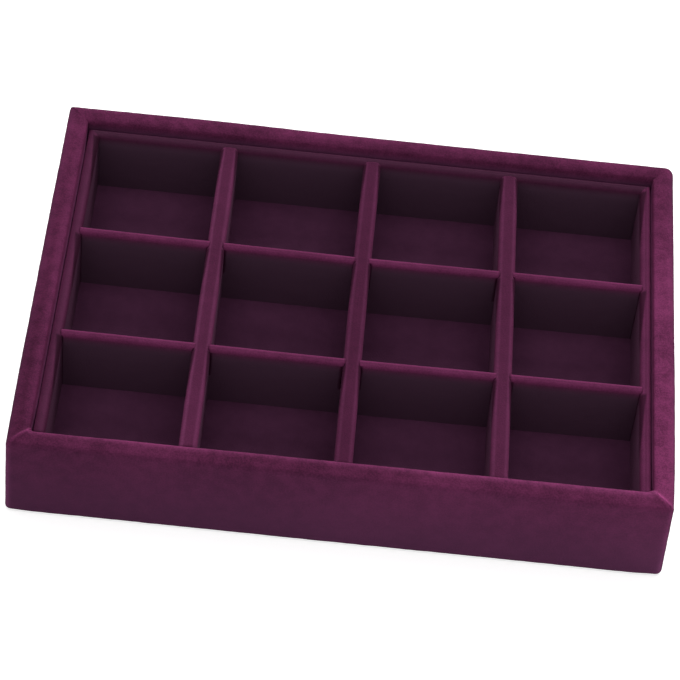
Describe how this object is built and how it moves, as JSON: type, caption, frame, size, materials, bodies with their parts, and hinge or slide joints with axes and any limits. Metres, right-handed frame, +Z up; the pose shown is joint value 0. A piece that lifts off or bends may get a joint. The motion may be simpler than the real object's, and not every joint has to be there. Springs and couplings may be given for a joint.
{
  "type": "jewelry tray",
  "caption": "Low rectangular velvet-covered box tray with a lift-out divider insert that makes a grid of open compartments for small jewelry.",
  "frame": {"origin": "middle of the flat underside, on the surface the tray stands on", "axes": "+X along the tray's length to the right, +Y to the back, +Z up out of the compartments"},
  "size_m": [0.24, 0.18, 0.037],
  "materials": {
    "plum_velvet": "short-pile plum velvet",
    "mdf_board": "raw medium-density fibreboard",
    "grey_board": "raw grey bookbinding board",
    "flocked_card": "flocked card, dark plum"
  },
  "bodies": {
    "tray": {"front_rail": "mdf_board", "back_rail": "mdf_board", "left_rail": "mdf_board", "right_rail": "mdf_board", "front_wrap": "plum_velvet", "back_wrap": "plum_velvet", "left_wrap": "plum_velvet", "right_wrap": "plum_velvet", "base_board": "mdf_board", "floor_card": "grey_board", "floor_velvet": "plum_velvet", "underside_panel": "flocked_card"},
    "insert": {"left_liner_board": "grey_board", "left_liner_velvet": "plum_velvet", "back_liner_board": "grey_board", "back_liner_velvet": "plum_velvet", "right_liner_board": "grey_board", "right_liner_velvet": "plum_velvet", "long_divider_board_1": "mdf_board", "long_divider_velvet_1": "plum_velvet", "long_divider_board_2": "mdf_board", "long_divider_velvet_2": "plum_velvet", "long_divider_board_3": "mdf_board", "long_divider_velvet_3": "plum_velvet", "cross_divider_board_1": "grey_board", "cross_divider_velvet_1": "plum_velvet", "cross_divider_board_2": "grey_board", "cross_divider_velvet_2": "plum_velvet"}
  },
  "joints": [
    {"name": "insert_lift", "type": "slide", "parent": "tray", "child": "insert", "axis": [0, 0, 1], "range_m": [0, 0.045]}
  ]
}
